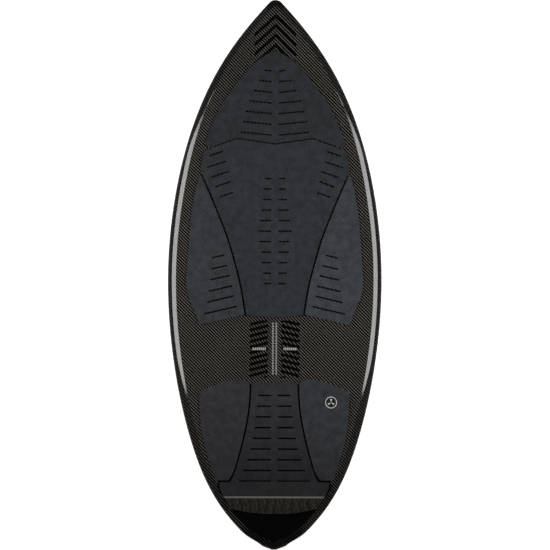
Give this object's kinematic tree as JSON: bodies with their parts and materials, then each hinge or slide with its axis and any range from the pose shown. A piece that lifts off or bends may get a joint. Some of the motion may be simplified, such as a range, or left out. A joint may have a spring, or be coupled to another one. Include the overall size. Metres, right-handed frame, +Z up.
{
  "type": "strapless directional water board",
  "caption": "Strapless directional board with pointed nose, rounded pin tail, bevelled carbon rails, sectioned foam deck traction, tail kick and removable fins.",
  "frame": {"origin": "on the centreline, halfway along, on the straight run of the bottom", "axes": "+Y to the nose, +X to starboard, +Z up through the deck"},
  "size_m": [0.5338, 1.372, 0.119],
  "materials": {
    "carbon": "clear-coated 2x2 twill carbon laminate",
    "foam": "closed-cell foam core",
    "stringer": "plain",
    "dense_foam": "dense foam",
    "eva": "matt EVA, fine cross-hatch",
    "eva_firm": "matt EVA, ribbed back",
    "badge": "moulded medallion",
    "fin_box": "moulded",
    "fin": "moulded composite",
    "screw": "stainless"
  },
  "bodies": {
    "hull": {"deck_skin": "carbon", "bottom_skin": "carbon", "core_left": "foam", "core_right": "foam", "stringer": "stringer", "nose_pad": "eva", "front_center_pad": "eva", "front_left_pad": "eva", "front_right_pad": "eva", "tail_center_pad": "eva", "tail_left_pad": "eva", "tail_right_pad": "eva", "tail_kick": "eva_firm", "badge": "badge", "left_fin_block": "dense_foam", "left_fin_box": "fin_box", "right_fin_block": "dense_foam", "right_fin_box": "fin_box", "center_fin_block": "dense_foam", "center_fin_box": "fin_box"},
    "left_fin": {"left_fin": "fin"},
    "left_fin_screw_front": {"left_fin_screw_front": "screw"},
    "left_fin_screw_rear": {"left_fin_screw_rear": "screw"},
    "right_fin": {"right_fin": "fin"},
    "right_fin_screw_front": {"right_fin_screw_front": "screw"},
    "right_fin_screw_rear": {"right_fin_screw_rear": "screw"},
    "center_fin": {"center_fin": "fin"},
    "center_fin_screw_front": {"center_fin_screw_front": "screw"},
    "center_fin_screw_rear": {"center_fin_screw_rear": "screw"}
  },
  "joints": [
    {"name": "left_fin_pull", "type": "slide", "parent": "hull", "child": "left_fin", "axis": [-0.0871, -0.0419, -0.9953], "range_m": [0, 0.014]},
    {"name": "left_fin_screw_front_back_off", "type": "slide", "parent": "hull", "child": "left_fin_screw_front", "axis": [0.573, -0.0623, -0.8172], "range_m": [0, 0.008]},
    {"name": "left_fin_screw_rear_back_off", "type": "slide", "parent": "hull", "child": "left_fin_screw_rear", "axis": [0.573, -0.0623, -0.8172], "range_m": [0, 0.008]},
    {"name": "right_fin_pull", "type": "slide", "parent": "hull", "child": "right_fin", "axis": [0.0871, -0.0419, -0.9953], "range_m": [0, 0.014]},
    {"name": "right_fin_screw_front_back_off", "type": "slide", "parent": "hull", "child": "right_fin_screw_front", "axis": [-0.573, -0.0623, -0.8172], "range_m": [0, 0.008]},
    {"name": "right_fin_screw_rear_back_off", "type": "slide", "parent": "hull", "child": "right_fin_screw_rear", "axis": [-0.573, -0.0623, -0.8172], "range_m": [0, 0.008]},
    {"name": "center_fin_pull", "type": "slide", "parent": "hull", "child": "center_fin", "axis": [0, -0.0627, -0.998], "range_m": [0, 0.014]},
    {"name": "center_fin_screw_front_back_off", "type": "slide", "parent": "hull", "child": "center_fin_screw_front", "axis": [0.6428, -0.048, -0.7645], "range_m": [0, 0.008]},
    {"name": "center_fin_screw_rear_back_off", "type": "slide", "parent": "hull", "child": "center_fin_screw_rear", "axis": [0.6428, -0.048, -0.7645], "range_m": [0, 0.008]}
  ]
}
